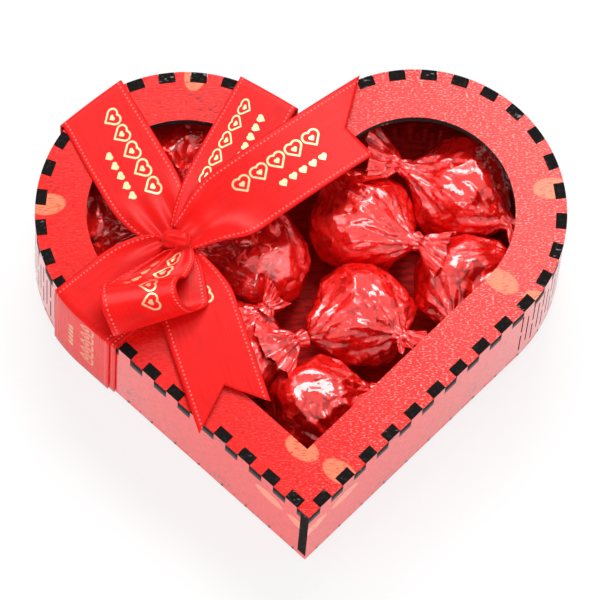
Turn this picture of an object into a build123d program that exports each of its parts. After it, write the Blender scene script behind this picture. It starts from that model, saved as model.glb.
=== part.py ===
"""Heart-shaped gift box of finger-jointed board, tied with a ribbon and filled with wrapped chocolate balls."""

import os
from math import acos, atan2, cos, degrees, radians, sin, sqrt, tan

from build123d import *

os.makedirs("parts", exist_ok=True)

# Box, in millimetres and degrees: the tip points to -Y, and the box stands on the ribbon below it
box_width = 150.0
lobe_radius_share = 0.2833
tip_angle = 92.0
board = 3.0
window_border = 14.5
overrun = 5.0

# Finger joints, measured along the middle of the walls
tab_width = 4.5
tab_pitch = 9.06
tab_from_tip = 5.3
tab_from_cleft = 5.0
joint_clearance = 0.12

# Slits that let the walls bend round the lobes
slit_width = 0.5
slit_pitch = 2.5
slit_end = 2.0
slit_bridge = 3.0
slit_stagger = 6.0
slit_from_cleft = 9.0

# Ribbon
ribbon_width = 22.0
ribbon_thickness = 0.35
ribbon_gap = 0.2
strap_neck = 6.4
strap_flare_at = 15.0
front_strap_shift = 2.0
back_strap_angle = 52.0
cleft_strap_angle = 121.5
knot_size = 7.0
knot_height = 4.0
knot_round = 1.6
knot_x_share = -0.237
knot_y_share = 0.11

# Layers of ribbon on the lid, counted from the lid up
tail_level = 2
knot_level = 3

# Bow loop
loop_heading = -80.0
loop_length = 19.6
loop_height = 12.5
loop_radius = 6.0
loop_mouth = 2.0
loop_neck = 7.5
loop_flare_at = 12.0
loop_skew = 11.8

# Ribbon ends: heading, lengths to the two points and to the notch between them, and their rise
tail_neck = 6.4
tail_flare_at = 24.0
back_tail_heading = 34.4
back_tail_points = (60.6, 71.8)
back_tail_notch = 59.0
back_tail_rise = 2.6
front_tail_heading = -73.3
front_tail_points = (55.7, 52.7)
front_tail_notch = 44.2
front_tail_rise = 0.4

# Wrapped chocolates: they fill the box, so its width sets their size and they set its height
ball_share = 0.1867
candy_headroom = 4.6
wrapper_thickness = 0.6
core_clearance = 0.3
candy_gap = 0.1
twist_share = 1.22
tent_angle = 32.0
neck_radius = 2.0
flare_radius = 4.6
flare_length = 4.8
flare_wall = 0.5

# Each chocolate: its place as shares of the box's width and length from the middle,
# and the azimuth and elevation of its two wrapper ends
candy_shares = {
    "candy_centre": (0.1147, -0.0015, ((215, 32), (-42, 36))),
    "candy_middle": (0.1200, 0.2136, ((128, 24), (-20, 30))),
    "candy_right_lobe": (0.3087, 0.2813, ((165, 26), (-30, 24))),
    "candy_under_knot": (-0.0800, 0.1279, ((178, 30), (78, 30))),
    "candy_tip": (0.0300, -0.2061, ((-70, 26), (10, 22))),
    "candy_right": (0.3153, 0.0662, ((20, 28), (-108, 30))),
    "candy_under_tail": (-0.1253, -0.0812, ((-120, 26), (48, 40))),
    "candy_left_lobe": (-0.3833, 0.2031, ((-5, 26), (75, 26))),
    "candy_left_top": (-0.2200, 0.3648, ((-80, 30), (12, 24))),
    "candy_under_bow": (-0.2993, 0.0120, ((-65, 24), (-5, 42))),
}

# Sizes that follow from the driving sizes
half_tip = radians(tip_angle / 2)
lobe_radius = lobe_radius_share * box_width
ball_diameter = ball_share * box_width
box_height = 2 * board + ball_diameter + candy_headroom
lobe_x = box_width / 2 - lobe_radius
tip_to_lobe = (lobe_x * cos(half_tip) + lobe_radius) / sin(half_tip)
box_length = tip_to_lobe + lobe_radius
tip_y = -box_length / 2
lobe_y = tip_y + tip_to_lobe
side_length = lobe_x * sin(half_tip) + tip_to_lobe * cos(half_tip)
cleft_y = lobe_y + sqrt(lobe_radius**2 - lobe_x**2)
cleft_angle = acos(-lobe_x / lobe_radius)

base_z = ribbon_thickness
floor_z = base_z + board
lid_z = base_z + box_height - board
top_z = lid_z + board
layer = ribbon_thickness + ribbon_gap
tail_z = top_z + ribbon_gap + tail_level * layer
knot_z = top_z + ribbon_gap + knot_level * layer
knot_x = knot_x_share * box_width
knot_y = knot_y_share * box_length
knot_reach = knot_size / sqrt(2)


def shoulder(inset):
    """Where the straight side of an inset heart runs into its lobe."""
    radius = lobe_radius - inset
    return (lobe_x + radius * cos(half_tip), lobe_y - radius * sin(half_tip))


def on_lobe(angle, inset):
    """A point on the right lobe of an inset heart."""
    radius = lobe_radius - inset
    return (lobe_x + radius * cos(angle), lobe_y + radius * sin(angle))


def heart_face(inset, mode=Mode.ADD):
    """Draw a heart, inset from the box's outline, into the open sketch. An inset cleft is round."""
    tip = (0, tip_y + inset / sin(half_tip))
    inset_cleft = cleft_angle if inset > 0 else acos(-lobe_x / (lobe_radius - inset))
    with BuildLine() as outline:
        Line(tip, shoulder(inset))
        ThreePointArc(shoulder(inset), on_lobe(half_tip, inset), on_lobe(inset_cleft, inset))
        if inset > 0:
            CenterArc((0, cleft_y), inset, degrees(cleft_angle) - 180, 90 - degrees(cleft_angle))
        mirror(about=Plane.YZ)
    make_face(outline.edges(), mode=mode)


def place_along(distance, inset):
    """Point and outward angle at a distance from the tip along the right half of an inset heart."""
    straight = side_length - inset / tan(half_tip)
    along = min(distance, straight)
    angle = -half_tip + max(distance - straight, 0) / (lobe_radius - inset)
    if distance > straight:
        return (*on_lobe(angle, inset), angle)
    tip = (0, tip_y + inset / sin(half_tip))
    return (tip[0] + along * sin(half_tip), tip[1] + along * cos(half_tip), angle)


def half_run(inset):
    """Length of the right half of an inset heart, from tip to cleft."""
    radius = lobe_radius - inset
    turn = half_tip + acos(-lobe_x / radius)
    return side_length - inset / tan(half_tip) + radius * turn


def tab_places(right):
    """Point and angle of each tab on one half, in the middle of the wall."""
    run = half_run(board / 2) - tab_from_tip - tab_from_cleft
    places = [place_along(tab_from_tip + i * tab_pitch, board / 2) for i in range(int(run / tab_pitch) + 1)]
    if right:
        return places
    return [(-x, y, radians(180) - angle) for x, y, angle in places]


def tab_faces(places, depth, width, mode=Mode.ADD):
    """Draw a rectangle across the wall at each tab."""
    for x, y, angle in places:
        with Locations((x, y)):
            Rectangle(depth, width, rotation=degrees(angle), mode=mode)


def right_side(mode):
    """Draw the region of the right wall: its end reaches through to the left wall's outer face at the tip."""
    inner_tip = (0, tip_y + board / sin(half_tip))
    reach = overrun + board
    through = (inner_tip[0] - reach * sin(half_tip), inner_tip[1] - reach * cos(half_tip))
    far = box_width
    with BuildLine() as outline:
        Polyline(inner_tip, through, (0, -far), (far, -far), (far, far), (0, far), close=True)
    make_face(outline.edges(), mode=mode)


def save(builder, label, place=(0, 0, 0)):
    """Name a finished piece, move it from the origin to its place and write it."""
    piece = builder.part.moved(Location(place))
    piece.label = label
    export_step(piece, f"parts/{label}.step")


def panel(label, bottom, windowed):
    """A heart of board with notches for the tabs of both walls."""
    notch_depth = board + 2 * joint_clearance
    with BuildPart() as piece:
        with BuildSketch(Plane.XY.offset(bottom)):
            heart_face(0)
            tab_faces(tab_places(True), notch_depth, tab_width + 2 * joint_clearance, Mode.SUBTRACT)
            tab_faces(tab_places(False), notch_depth, tab_width + 2 * joint_clearance, Mode.SUBTRACT)
            if windowed:
                heart_face(window_border, Mode.SUBTRACT)
        extrude(amount=board)
    save(piece, label)


def slit_places(right, first):
    """Point and angle of every second slit round one lobe."""
    straight = side_length
    run = half_run(0) - slit_from_cleft - straight
    places = [place_along(straight + i * slit_pitch, 0) for i in range(first, int(run / slit_pitch), 2)]
    if right:
        return places
    return [(-x, y, radians(180) - angle) for x, y, angle in places]


def wall(label, right):
    """One wall: a band of board with tabs along both edges and staggered slits round its lobe."""
    side_mode = Mode.INTERSECT if right else Mode.SUBTRACT
    with BuildPart() as piece:
        with BuildSketch(Plane.XY.offset(floor_z)):
            heart_face(0)
            heart_face(board, Mode.SUBTRACT)
            right_side(side_mode)
        extrude(amount=lid_z - floor_z)
        for bottom in (base_z, lid_z):
            with BuildSketch(Plane.XY.offset(bottom)):
                tab_faces(tab_places(right), board + overrun, tab_width)
                heart_face(0, Mode.INTERSECT)
                heart_face(board, Mode.SUBTRACT)
                right_side(side_mode)
            extrude(amount=board)
        middle = (floor_z + lid_z) / 2
        cuts = (
            (0, floor_z + slit_end, middle - slit_bridge / 2),
            (0, middle + slit_bridge / 2, lid_z - slit_end),
            (1, floor_z + slit_stagger, lid_z - slit_stagger),
        )
        for first, low, high in cuts:
            with BuildSketch(Plane.XY.offset(low)):
                tab_faces(slit_places(right, first), 2 * (board + joint_clearance), slit_width)
            extrude(amount=high - low, mode=Mode.SUBTRACT)
    save(piece, label)


def strap_edge(distance):
    """Middle and outward direction of a strap where it crosses the left half's edge."""
    x, y, angle = place_along(distance, 0)
    return (Vector(-x, y), Vector(-cos(angle), sin(angle)))


def edge_corners(edge, out):
    """The two corners of a strap at its edge, moved out from the wall."""
    middle, outward = edge
    sideways = Vector(-outward.Y, outward.X) * (ribbon_width / 2)
    return (middle + outward * out + sideways, middle + outward * out - sideways)


def strap(label, edge, level):
    """A ribbon strap from under the knot over the lid's edge and down the wall."""
    middle, outward = edge
    bottom = top_z + ribbon_gap + level * layer
    reach = (level + 1) * layer
    knot = Vector(knot_x, knot_y)
    along = (middle - knot).normalized()
    across = Vector(-along.Y, along.X)
    narrow = across * (strap_neck / 2)
    wide = across * (ribbon_width / 2)
    start = knot + along * (strap_neck / 2 + ribbon_gap)
    flare = knot + along * strap_flare_at
    far_left, far_right = edge_corners(edge, overrun)
    with BuildPart() as piece:
        with BuildSketch(Plane.XY.offset(bottom)):
            with BuildLine():
                Polyline(
                    start + narrow,
                    flare + wide,
                    far_left,
                    far_right,
                    flare - wide,
                    start - narrow,
                    close=True,
                )
            make_face()
            heart_face(-reach, Mode.INTERSECT)
        extrude(amount=ribbon_thickness)
        with BuildSketch(Plane.XY.offset(ribbon_thickness + ribbon_gap)):
            heart_face(-reach)
            heart_face(ribbon_thickness - reach, Mode.SUBTRACT)
            with Locations((middle.X, middle.Y)):
                Rectangle(
                    ribbon_width,
                    ribbon_width,
                    rotation=degrees(atan2(outward.Y, outward.X)),
                    mode=Mode.INTERSECT,
                )
        extrude(amount=bottom - ribbon_gap)
    save(piece, label)


def under_run_face(first, second, mode=Mode.ADD):
    """Draw the ribbon's run under the box between two edges."""
    first_left, first_right = edge_corners(first, overrun)
    second_left, second_right = edge_corners(second, overrun)
    with BuildLine() as outline:
        Polyline(first_left, first_right, second_left, second_right, close=True)
    make_face(outline.edges(), mode=mode)


def upright_plane(heading, start):
    """Upright plane that runs from the knot along a heading, with its own X along it and Y up."""
    angle = radians(heading)
    along = Vector(cos(angle), sin(angle))
    origin = Vector(knot_x, knot_y) + along * start
    return Plane(origin=origin, x_dir=along, z_dir=Vector(sin(angle), -cos(angle)))


def along_knot(heading, forward, left):
    """Point on the plan, given forward and to the left of the knot along a heading."""
    angle = radians(heading)
    return (
        knot_x + forward * cos(angle) - left * sin(angle),
        knot_y + forward * sin(angle) + left * cos(angle),
    )


def tail(label, heading, points, notch, rise):
    """A ribbon end that bows up a little and finishes in two points."""
    right_point, left_point = points
    half = ribbon_width / 2
    tail_start = tail_neck / 2
    far = max(points)
    crest = (knot_reach + far) / 2
    plan = [
        along_knot(heading, tail_start, -tail_neck / 2),
        along_knot(heading, tail_flare_at, -half),
        along_knot(heading, right_point, -half),
        along_knot(heading, notch, 0),
        along_knot(heading, left_point, half),
        along_knot(heading, tail_flare_at, half),
        along_knot(heading, tail_start, tail_neck / 2),
    ]
    with BuildPart() as piece:
        with BuildSketch(upright_plane(heading, 0)):
            with BuildLine():
                for z in (tail_z, tail_z + ribbon_thickness):
                    Line((0, z), (knot_reach, z))
                    ThreePointArc((knot_reach, z), (crest, z + rise), (far, z))
                for x in (0, far):
                    Line((x, tail_z), (x, tail_z + ribbon_thickness))
            make_face()
        extrude(amount=ribbon_width, both=True)
        with BuildSketch(Plane.XY.offset(tail_z)):
            with BuildLine():
                Polyline(*plan, close=True)
            make_face()
        extrude(amount=rise + overrun, mode=Mode.INTERSECT)
    save(piece, label)


def candy(label, x_share, y_share, ends):
    """A chocolate ball in a hollow wrapper, drawn out to a twist and a flare at each end."""
    radius = ball_diameter / 2
    inner = radius - wrapper_thickness
    centre = (x_share * box_width, y_share * box_length, floor_z + candy_gap + radius)
    twist_end = radius * twist_share
    flare_end = twist_end + flare_length
    foot_radius = radius - wrapper_thickness / 2
    tent_foot = (foot_radius * cos(radians(tent_angle)), foot_radius * sin(radians(tent_angle)))
    with BuildPart() as wrapper:
        Sphere(radius)
        Sphere(inner, mode=Mode.SUBTRACT)
        for azimuth, elevation in ends:
            flat = cos(radians(elevation))
            out = Vector(flat * cos(radians(azimuth)), flat * sin(radians(azimuth)), sin(radians(elevation)))
            side = Vector(-sin(radians(azimuth)), cos(radians(azimuth)), 0)
            with BuildSketch(Plane(origin=(0, 0, 0), x_dir=out, z_dir=side)):
                with BuildLine():
                    CenterArc((0, 0), foot_radius, 0, tent_angle)
                    Polyline(
                        tent_foot,
                        (twist_end, neck_radius),
                        (flare_end, flare_radius),
                        (flare_end, flare_radius - flare_wall),
                        (twist_end + flare_wall, 0),
                        (foot_radius, 0),
                    )
                make_face()
            revolve(axis=Axis((0, 0, 0), out))
    save(wrapper, f"{label}_wrapper", centre)

    with BuildPart() as core:
        Sphere(inner - core_clearance)
    save(core, f"{label}_chocolate", centre)


# The box
panel("bottom_panel", base_z, windowed=False)
panel("lid_panel", lid_z, windowed=True)
wall("wall_left", right=False)
wall("wall_right", right=True)

# The ribbon's straps, each from the knot over one edge of the box
lobe_turn = side_length + lobe_radius * half_tip
back_edge = strap_edge(lobe_turn + lobe_radius * radians(back_strap_angle))
cleft_edge = strap_edge(lobe_turn + lobe_radius * radians(cleft_strap_angle))
front_edge = strap_edge(side_length)
strap("ribbon_strap_back_left", back_edge, 0)
strap("ribbon_strap_cleft", cleft_edge, 1)
strap("ribbon_strap_front_inner", strap_edge(side_length - front_strap_shift), 0)
strap("ribbon_strap_front", front_edge, 1)

# The ribbon's runs under the box: the second stops where it meets the first
with BuildPart() as under_long:
    with BuildSketch():
        under_run_face(front_edge, cleft_edge)
        heart_face(-layer, Mode.INTERSECT)
    extrude(amount=ribbon_thickness)
save(under_long, "ribbon_under_long")

with BuildPart() as under_short:
    with BuildSketch():
        under_run_face(front_edge, back_edge)
        heart_face(-layer, Mode.INTERSECT)
        under_run_face(front_edge, cleft_edge, Mode.SUBTRACT)
    extrude(amount=ribbon_thickness)
save(under_short, "ribbon_under_short")

# The knot, on top of the straps and the ends
with BuildPart() as knot:
    with BuildSketch(Plane.XY.offset(knot_z)):
        with Locations((knot_x, knot_y)):
            RectangleRounded(knot_size, knot_size, knot_round)
    extrude(amount=knot_height)
    fillet(knot.faces().sort_by(Axis.Z)[-1].edges(), knot_round)
save(knot, "ribbon_knot")

# The bow loop, narrow at the knot and full width at its round end
loop_low = knot_z + ribbon_gap
loop_centre = (loop_length - loop_radius, knot_z + loop_height - loop_radius)
loop_end = knot_reach + loop_length + overrun
loop_right = -ribbon_width / 2 - loop_skew
loop_left = ribbon_width / 2 - loop_skew
with BuildPart() as loop:
    with BuildSketch(upright_plane(loop_heading, knot_reach)):
        with Locations(loop_centre):
            Circle(loop_radius)
        with BuildLine():
            Polyline(
                (0, loop_low),
                (loop_centre[0], loop_centre[1] - loop_radius),
                (loop_centre[0] - loop_radius, loop_centre[1]),
                (0, loop_low + loop_mouth),
                close=True,
            )
        make_face()
        offset(amount=-ribbon_thickness, mode=Mode.SUBTRACT)
    extrude(amount=ribbon_width, both=True)
    with BuildSketch(Plane.XY.offset(top_z)):
        with BuildLine():
            Polyline(
                along_knot(loop_heading, 0, -loop_neck / 2),
                along_knot(loop_heading, loop_flare_at, loop_right),
                along_knot(loop_heading, loop_end, loop_right),
                along_knot(loop_heading, loop_end, loop_left),
                along_knot(loop_heading, loop_flare_at, loop_left),
                along_knot(loop_heading, 0, loop_neck / 2),
                close=True,
            )
        make_face()
    extrude(amount=loop_height + knot_z, mode=Mode.INTERSECT)
save(loop, "ribbon_loop")

# The ribbon's two ends
tail("ribbon_end_back", back_tail_heading, back_tail_points, back_tail_notch, back_tail_rise)
tail("ribbon_end_front", front_tail_heading, front_tail_points, front_tail_notch, front_tail_rise)

# The chocolates
for candy_name, (x_share, y_share, ends) in candy_shares.items():
    candy(candy_name, x_share, y_share, ends)
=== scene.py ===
"""Valentine heart box: printed board, satin ribbon and wrapped chocolates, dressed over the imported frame."""

import math
import random
from functools import partialmethod
from typing import NamedTuple

import bmesh
import bpy
import numpy as np
from mathutils import Euler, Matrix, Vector, noise


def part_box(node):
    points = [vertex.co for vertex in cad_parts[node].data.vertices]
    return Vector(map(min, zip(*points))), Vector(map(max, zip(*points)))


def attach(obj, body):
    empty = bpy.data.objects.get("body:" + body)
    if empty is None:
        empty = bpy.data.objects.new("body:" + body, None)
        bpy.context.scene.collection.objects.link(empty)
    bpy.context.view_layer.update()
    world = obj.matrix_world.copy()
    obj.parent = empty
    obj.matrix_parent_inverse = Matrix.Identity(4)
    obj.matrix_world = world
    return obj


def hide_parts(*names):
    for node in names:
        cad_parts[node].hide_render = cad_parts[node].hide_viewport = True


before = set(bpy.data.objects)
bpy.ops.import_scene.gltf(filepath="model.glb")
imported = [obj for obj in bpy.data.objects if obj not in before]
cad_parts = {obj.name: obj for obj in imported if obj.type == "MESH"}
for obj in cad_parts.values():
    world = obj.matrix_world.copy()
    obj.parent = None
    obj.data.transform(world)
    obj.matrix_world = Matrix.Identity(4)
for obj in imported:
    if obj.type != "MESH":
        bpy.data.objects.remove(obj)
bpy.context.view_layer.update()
scene = bpy.context.scene

# Sizes in metres, the same as in the part's source
MM = 0.001
HALF_TIP = math.radians(46.0)
TIP_COS, TIP_SIN = math.cos(HALF_TIP), math.sin(HALF_TIP)
BOX_WIDTH = 150.0 * MM
LOBE_RADIUS_SHARE = 0.2833
LOBE_RADIUS = LOBE_RADIUS_SHARE * BOX_WIDTH
LOBE_X = BOX_WIDTH / 2 - LOBE_RADIUS
TIP_TO_LOBE = (LOBE_X * TIP_COS + LOBE_RADIUS) / TIP_SIN
BOX_LENGTH = TIP_TO_LOBE + LOBE_RADIUS
LOBE_Y = TIP_TO_LOBE - BOX_LENGTH / 2
BOARD = 3.0 * MM
LID_LOW, LID_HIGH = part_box("lid_panel")
LID_Z = LID_LOW.z
TOP_Z = LID_HIGH.z
FLOOR_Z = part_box("bottom_panel")[1].z

# The walls' tabs, counted from the tip along the middle of the board
TAB_PITCH = 9.06 * MM
TAB_FROM_TIP = 5.3 * MM
SIDE_LENGTH = LOBE_X * TIP_SIN + TIP_TO_LOBE * TIP_COS
FIRST_TAB = SIDE_LENGTH - BOARD / 2 / math.tan(HALF_TIP) - TAB_FROM_TIP

# The ribbon, its knot, and the places across it at which its sheets have points
RIBBON_WIDTH = 22.0 * MM
HALF_RIBBON = RIBBON_WIDTH / 2
RIBBON_THICK = 0.35 * MM
RIBBON_GAP = 0.2 * MM
LAYER = RIBBON_THICK + RIBBON_GAP
SHEET_THICK = 0.30 * MM
KNOT_X_SHARE = -0.237
KNOT_Y_SHARE = 0.11
KNOT = Vector((KNOT_X_SHARE * BOX_WIDTH, KNOT_Y_SHARE * BOX_LENGTH, 0.0))
KNOT_Z = TOP_Z + RIBBON_GAP + 3 * LAYER
KNOT_REACH = 4.95 * MM
TAIL_Z = TOP_Z + RIBBON_GAP + 2 * LAYER
NECK_SHARE = 0.30
HALF_COLUMNS = 16
ACROSS = [HALF_RIBBON * (j / HALF_COLUMNS - 1.0) for j in range(2 * HALF_COLUMNS + 1)]

# The chocolates' films
FILM_RADIUS = 15.3 * MM
FILM_LEAST_RADIUS = 13.45 * MM
FILM_CLEAR = 0.15 * MM
WINDOW_INSET = 14.5 * MM
WINDOW_CLEAR = 0.6 * MM
# A wrapper end's fan: its length and half width
NEAT = (6.5 * MM, 3.6 * MM)
FULL = (10.5 * MM, 6.0 * MM)
WIDE = (12.5 * MM, 8.5 * MM)
# A chocolate's two wrapper ends: azimuth and elevation in degrees, the twist's place in film radii, the fan
CANDY_ENDS = {
    "candy_centre": ((208, 24, 1.50, WIDE), (-42, 36, 1.22, NEAT)),
    "candy_middle": ((128, 24, 1.22, FULL), (-33, 30, 1.45, FULL)),
    "candy_right_lobe": ((165, 26, 1.30, WIDE), (-44, 23, 1.32, FULL)),
    "candy_under_knot": ((178, 30, 1.22, FULL), (78, 30, 1.22, FULL)),
    "candy_tip": ((-70, 26, 1.22, FULL), (10, 22, 1.22, FULL)),
    "candy_right": ((20, 28, 1.22, FULL), (-108, 30, 1.30, FULL)),
    "candy_under_tail": ((-120, 26, 1.22, FULL), (48, 40, 1.22, NEAT)),
    "candy_left_lobe": ((-5, 26, 1.22, FULL), (75, 26, 1.22, FULL)),
    "candy_left_top": ((-80, 30, 1.22, FULL), (12, 24, 1.22, FULL)),
    "candy_under_bow": ((-65, 24, 1.22, FULL), (-5, 42, 1.22, NEAT)),
}


def smooth(low, high, value):
    """Smooth step from 0 at low to 1 at high."""
    share = min(max((value - low) / (high - low), 0.0), 1.0)
    return share * share * (3.0 - 2.0 * share)


def spline(points, count):
    """Points on a smooth curve through the given points, in even steps of its parameter."""
    padded = [2 * points[0] - points[1], *points, 2 * points[-1] - points[-2]]
    made = []
    for i in range(count):
        place = i / (count - 1) * (len(points) - 1)
        k = min(int(place), len(points) - 2)
        t = place - k
        a, b, c, d = padded[k:k + 4]
        bend = (2 * a - 5 * b + 4 * c - d) * t * t + (3 * b - a - 3 * c + d) * t**3
        made.append((2 * b + (c - a) * t + bend) / 2)
    return made


class Spots(NamedTuple):
    """A noise: its scale per metre, alike or by axis, where its spots fade in, its detail and roughness."""

    scale: float | tuple
    low: float = 0.0
    high: float = 1.0
    detail: float = 2.0
    rough: float = 0.5


class Paint:
    """The nodes of a material or a world, with short calls that add them."""

    # The Mix node's sockets for its two values and its result
    MIX_SOCKETS = {"RGBA": (6, 7, 2), "VECTOR": (4, 5, 1)}

    def __init__(self, block, shader="Principled BSDF"):
        block.use_nodes = True
        self.block = block
        self.tree = block.node_tree
        self.shader = self.tree.nodes[shader]

    def put(self, socket, value):
        """Link a socket to a value's node, or set it."""
        if isinstance(value, bpy.types.NodeSocket):
            self.tree.links.new(value, socket)
        else:
            socket.default_value = value

    def set(self, **values):
        """Set the shader's sockets, named with _ for a space."""
        for name, value in values.items():
            self.put(self.shader.inputs[name.replace("_", " ")], value)

    def node(self, kind, inputs=(), **settings):
        """Add a node, with its settings and with its inputs in order or by name."""
        made = self.tree.nodes.new(kind)
        for name, value in settings.items():
            setattr(made, name, value)
        pairs = inputs.items() if isinstance(inputs, dict) else enumerate(inputs)
        for key, value in pairs:
            if value is not None:
                self.put(made.inputs[key], value)
        return made

    def math(self, operation, *inputs):
        return self.node("ShaderNodeMath", inputs, operation=operation).outputs[0]

    plus = partialmethod(math, "ADD")
    minus = partialmethod(math, "SUBTRACT")
    times = partialmethod(math, "MULTIPLY")
    most = partialmethod(math, "MAXIMUM")
    over = partialmethod(math, "GREATER_THAN")
    under = partialmethod(math, "LESS_THAN")
    absolute = partialmethod(math, "ABSOLUTE")

    def vector(self, operation, *inputs):
        return self.node("ShaderNodeVectorMath", inputs, operation=operation).outputs["Vector"]

    def dot(self, first, second):
        return self.node("ShaderNodeVectorMath", (first, second), operation="DOT_PRODUCT").outputs["Value"]

    def split(self, vector):
        return self.node("ShaderNodeSeparateXYZ", (vector,)).outputs

    def join(self, x, y, z):
        return self.node("ShaderNodeCombineXYZ", (x, y, z)).outputs[0]

    def step(self, value, low, high, first=0.0, last=1.0):
        """Smooth step of a value between two others."""
        inputs = (value, low, high, first, last)
        return self.node("ShaderNodeMapRange", inputs, interpolation_type="SMOOTHSTEP").outputs[0]

    def wave(self, value, length):
        """Sine of a value with a wave's length."""
        return self.math("SINE", self.times(value, 2 * math.pi / length))

    def mix(self, share, first, last, kind="RGBA"):
        """Mix of two colours, or of two vectors."""
        a, b, result = self.MIX_SOCKETS[kind]
        return self.node("ShaderNodeMix", {0: share, a: first, b: last}, data_type=kind).outputs[result]

    def noise(self, vector, spots):
        """A noise's own value."""
        scale = spots.scale
        if isinstance(scale, tuple):
            vector = self.vector("MULTIPLY", vector, scale)
            scale = 1.0
        inputs = {"Vector": vector, "Scale": scale, "Detail": spots.detail, "Roughness": spots.rough}
        return self.node("ShaderNodeTexNoise", inputs).outputs["Fac"]

    def spots(self, vector, spots):
        """Mask of a noise's spots."""
        return self.step(self.noise(vector, spots), spots.low, spots.high)

    def bump(self, height, distance, strength=1.0):
        inputs = {"Height": height, "Distance": distance, "Strength": strength}
        self.set(Normal=self.node("ShaderNodeBump", inputs).outputs[0])

    def place(self):
        """Coordinate on the piece itself, in metres."""
        return self.node("ShaderNodeTexCoord").outputs["Object"]

    def normal(self):
        return self.node("ShaderNodeNewGeometry").outputs["Normal"]

    def seen(self):
        """1 for the rays that show the background, and 0 for those that only light."""
        light = self.node("ShaderNodeLightPath").outputs
        direct = self.most(light["Is Camera Ray"], light["Is Glossy Ray"])
        return self.most(direct, light["Is Transmission Ray"])


def new_paint(name):
    """The paint of a new material."""
    return Paint(bpy.data.materials.new(name))


# Colours, linear
PRINT_RED = (0.81, 0.008, 0.005, 1.0)
PRINT_DEEP = (0.62, 0.006, 0.005, 1.0)
# Pale pink of the flecks that paint the lid's sheen
PAINTED_SHEEN_PINK = (0.95, 0.40, 0.36, 1.0)
PETAL = (0.93, 0.20, 0.10, 1.0)
SPECK = (0.10, 0.012, 0.010, 1.0)
BURNT = (0.006, 0.005, 0.005, 1.0)
SCORCHED = (0.030, 0.020, 0.018, 1.0)
# Grey of the glints painted on the burnt cut edges
PAINTED_GLINT_GREY = (0.22, 0.21, 0.21, 1.0)
INNER_RED = (0.80, 0.012, 0.010, 1.0)
SATIN = (0.78, 0.008, 0.007, 1.0)
SATIN_DEEP = (0.50, 0.004, 0.004, 1.0)
STITCH = (0.92, 0.16, 0.14, 1.0)
GOLD = (0.72, 0.38, 0.21, 1.0)
FILM = (0.98, 0.012, 0.008, 1.0)
FILM_DEEP = (0.80, 0.003, 0.002, 1.0)
COCOA = (0.060, 0.022, 0.012, 1.0)
COCOA_PALE = (0.115, 0.048, 0.026, 1.0)
FLOOR_DIM = (0.90, 0.90, 0.90, 1.0)
FLOOR_PALE = (0.93, 0.93, 0.93, 1.0)
WHITE = (1.0, 1.0, 1.0, 1.0)

# Noises of the board, on the sheet laid flat or on the piece
GRAIN = Spots((520.0, 2300.0, 1.0), 0.36, 0.56, 3.0, 0.6)
FLECKS = Spots((1100.0, 2700.0, 1.0), 0.56, 0.63)
BLOTCHES = Spots(70.0, 0.28, 0.50, 3.0, 0.6)
SPECKS = Spots(1100.0, 0.55, 0.61)
SPECK_PATCHES = Spots(44.0, 0.60, 0.68)
SCORCHES = Spots(900.0, 0.50, 0.72, 3.0, 0.7)
# Painted glints on the cut edges, in patches
GLINTS = Spots((500.0, 1600.0, 500.0), 0.62, 0.68)
GLINT_PATCHES = Spots(60.0, 0.50, 0.60)
INNER_CLOUDS = Spots(500.0, detail=3.0)
FIBRES = Spots((260.0, 900.0, 900.0), 0.3, 0.7, 3.0, 0.6)
FINGER_SPOTS = Spots(600.0, 0.62, 0.70)
BOARD_RELIEF = 0.10 * MM
# A face belongs to the board's front or back where its normal agrees with that by more than this
FACING = 0.5

# Painted sheen: the lid's pale flecks stand in for glints of its sheen, and grow from left to right, between
# these places and shares
PAINTED_SHEEN_FROM, PAINTED_SHEEN_TO = -25.0 * MM, 40.0 * MM
PAINTED_SHEEN_LEAST, PAINTED_SHEEN_MOST = 0.05, 0.62

# The print's petals, in cells so many to the metre, and the share of the cells that have a pair
PETAL_CELLS = 26.0
PETAL_FROM_MIDDLE = 6.2 * MM
PETAL_HALF_LENGTH = 5.6 * MM
PETAL_HALF_WIDTH = 3.4 * MM
PETAL_CORE_SHARE = 0.72
PETAL_PAIR_SHARE = 0.50

# The walls' burns with painted shade under the lid's fingers, across as shares of the tabs' pitch
BURN_SHADE_HEIGHT = 2.6 * MM
BURN_SHADE_FULL_SHARE = 0.85
BURN_SHADE_HALF_SHARES = (0.27, 0.25)
DOT_SHIFT_SHARE = 0.72
DOT_HALF_SHARES = (0.055, 0.035)
DOT_TOPS = (2.2 * MM, 1.4 * MM)
# The walls' varnish is thinner towards the tip, between these places and weights
VARNISH_FROM, VARNISH_TO = -50.0 * MM, 20.0 * MM
VARNISH_LEAST, VARNISH_MOST = 0.5, 1.0


def petals(paint, sheet):
    """Mask of petals in pairs, scattered at random angles."""
    inputs = {"Vector": sheet, "Scale": PETAL_CELLS}
    cells = paint.node("ShaderNodeTexVoronoi", inputs, voronoi_dimensions="2D")
    local = paint.vector("SUBTRACT", sheet, cells.outputs["Position"])
    turn_chance, pair_chance, _ = paint.split(cells.outputs["Color"])
    inputs = {"Vector": local, "Angle": paint.times(turn_chance, 2 * math.pi)}
    turned = paint.node("ShaderNodeVectorRotate", inputs, rotation_type="Z_AXIS")
    a, b, _ = paint.split(turned.outputs[0])
    far = paint.minus(paint.absolute(a), PETAL_FROM_MIDDLE)
    far = paint.math("POWER", paint.math("DIVIDE", far, PETAL_HALF_LENGTH), 2.0)
    wide = paint.math("POWER", paint.math("DIVIDE", b, PETAL_HALF_WIDTH), 2.0)
    mask = paint.step(paint.plus(far, wide), 1.0, PETAL_CORE_SHARE)
    return paint.times(mask, paint.over(pair_chance, 1.0 - PETAL_PAIR_SHARE))


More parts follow.
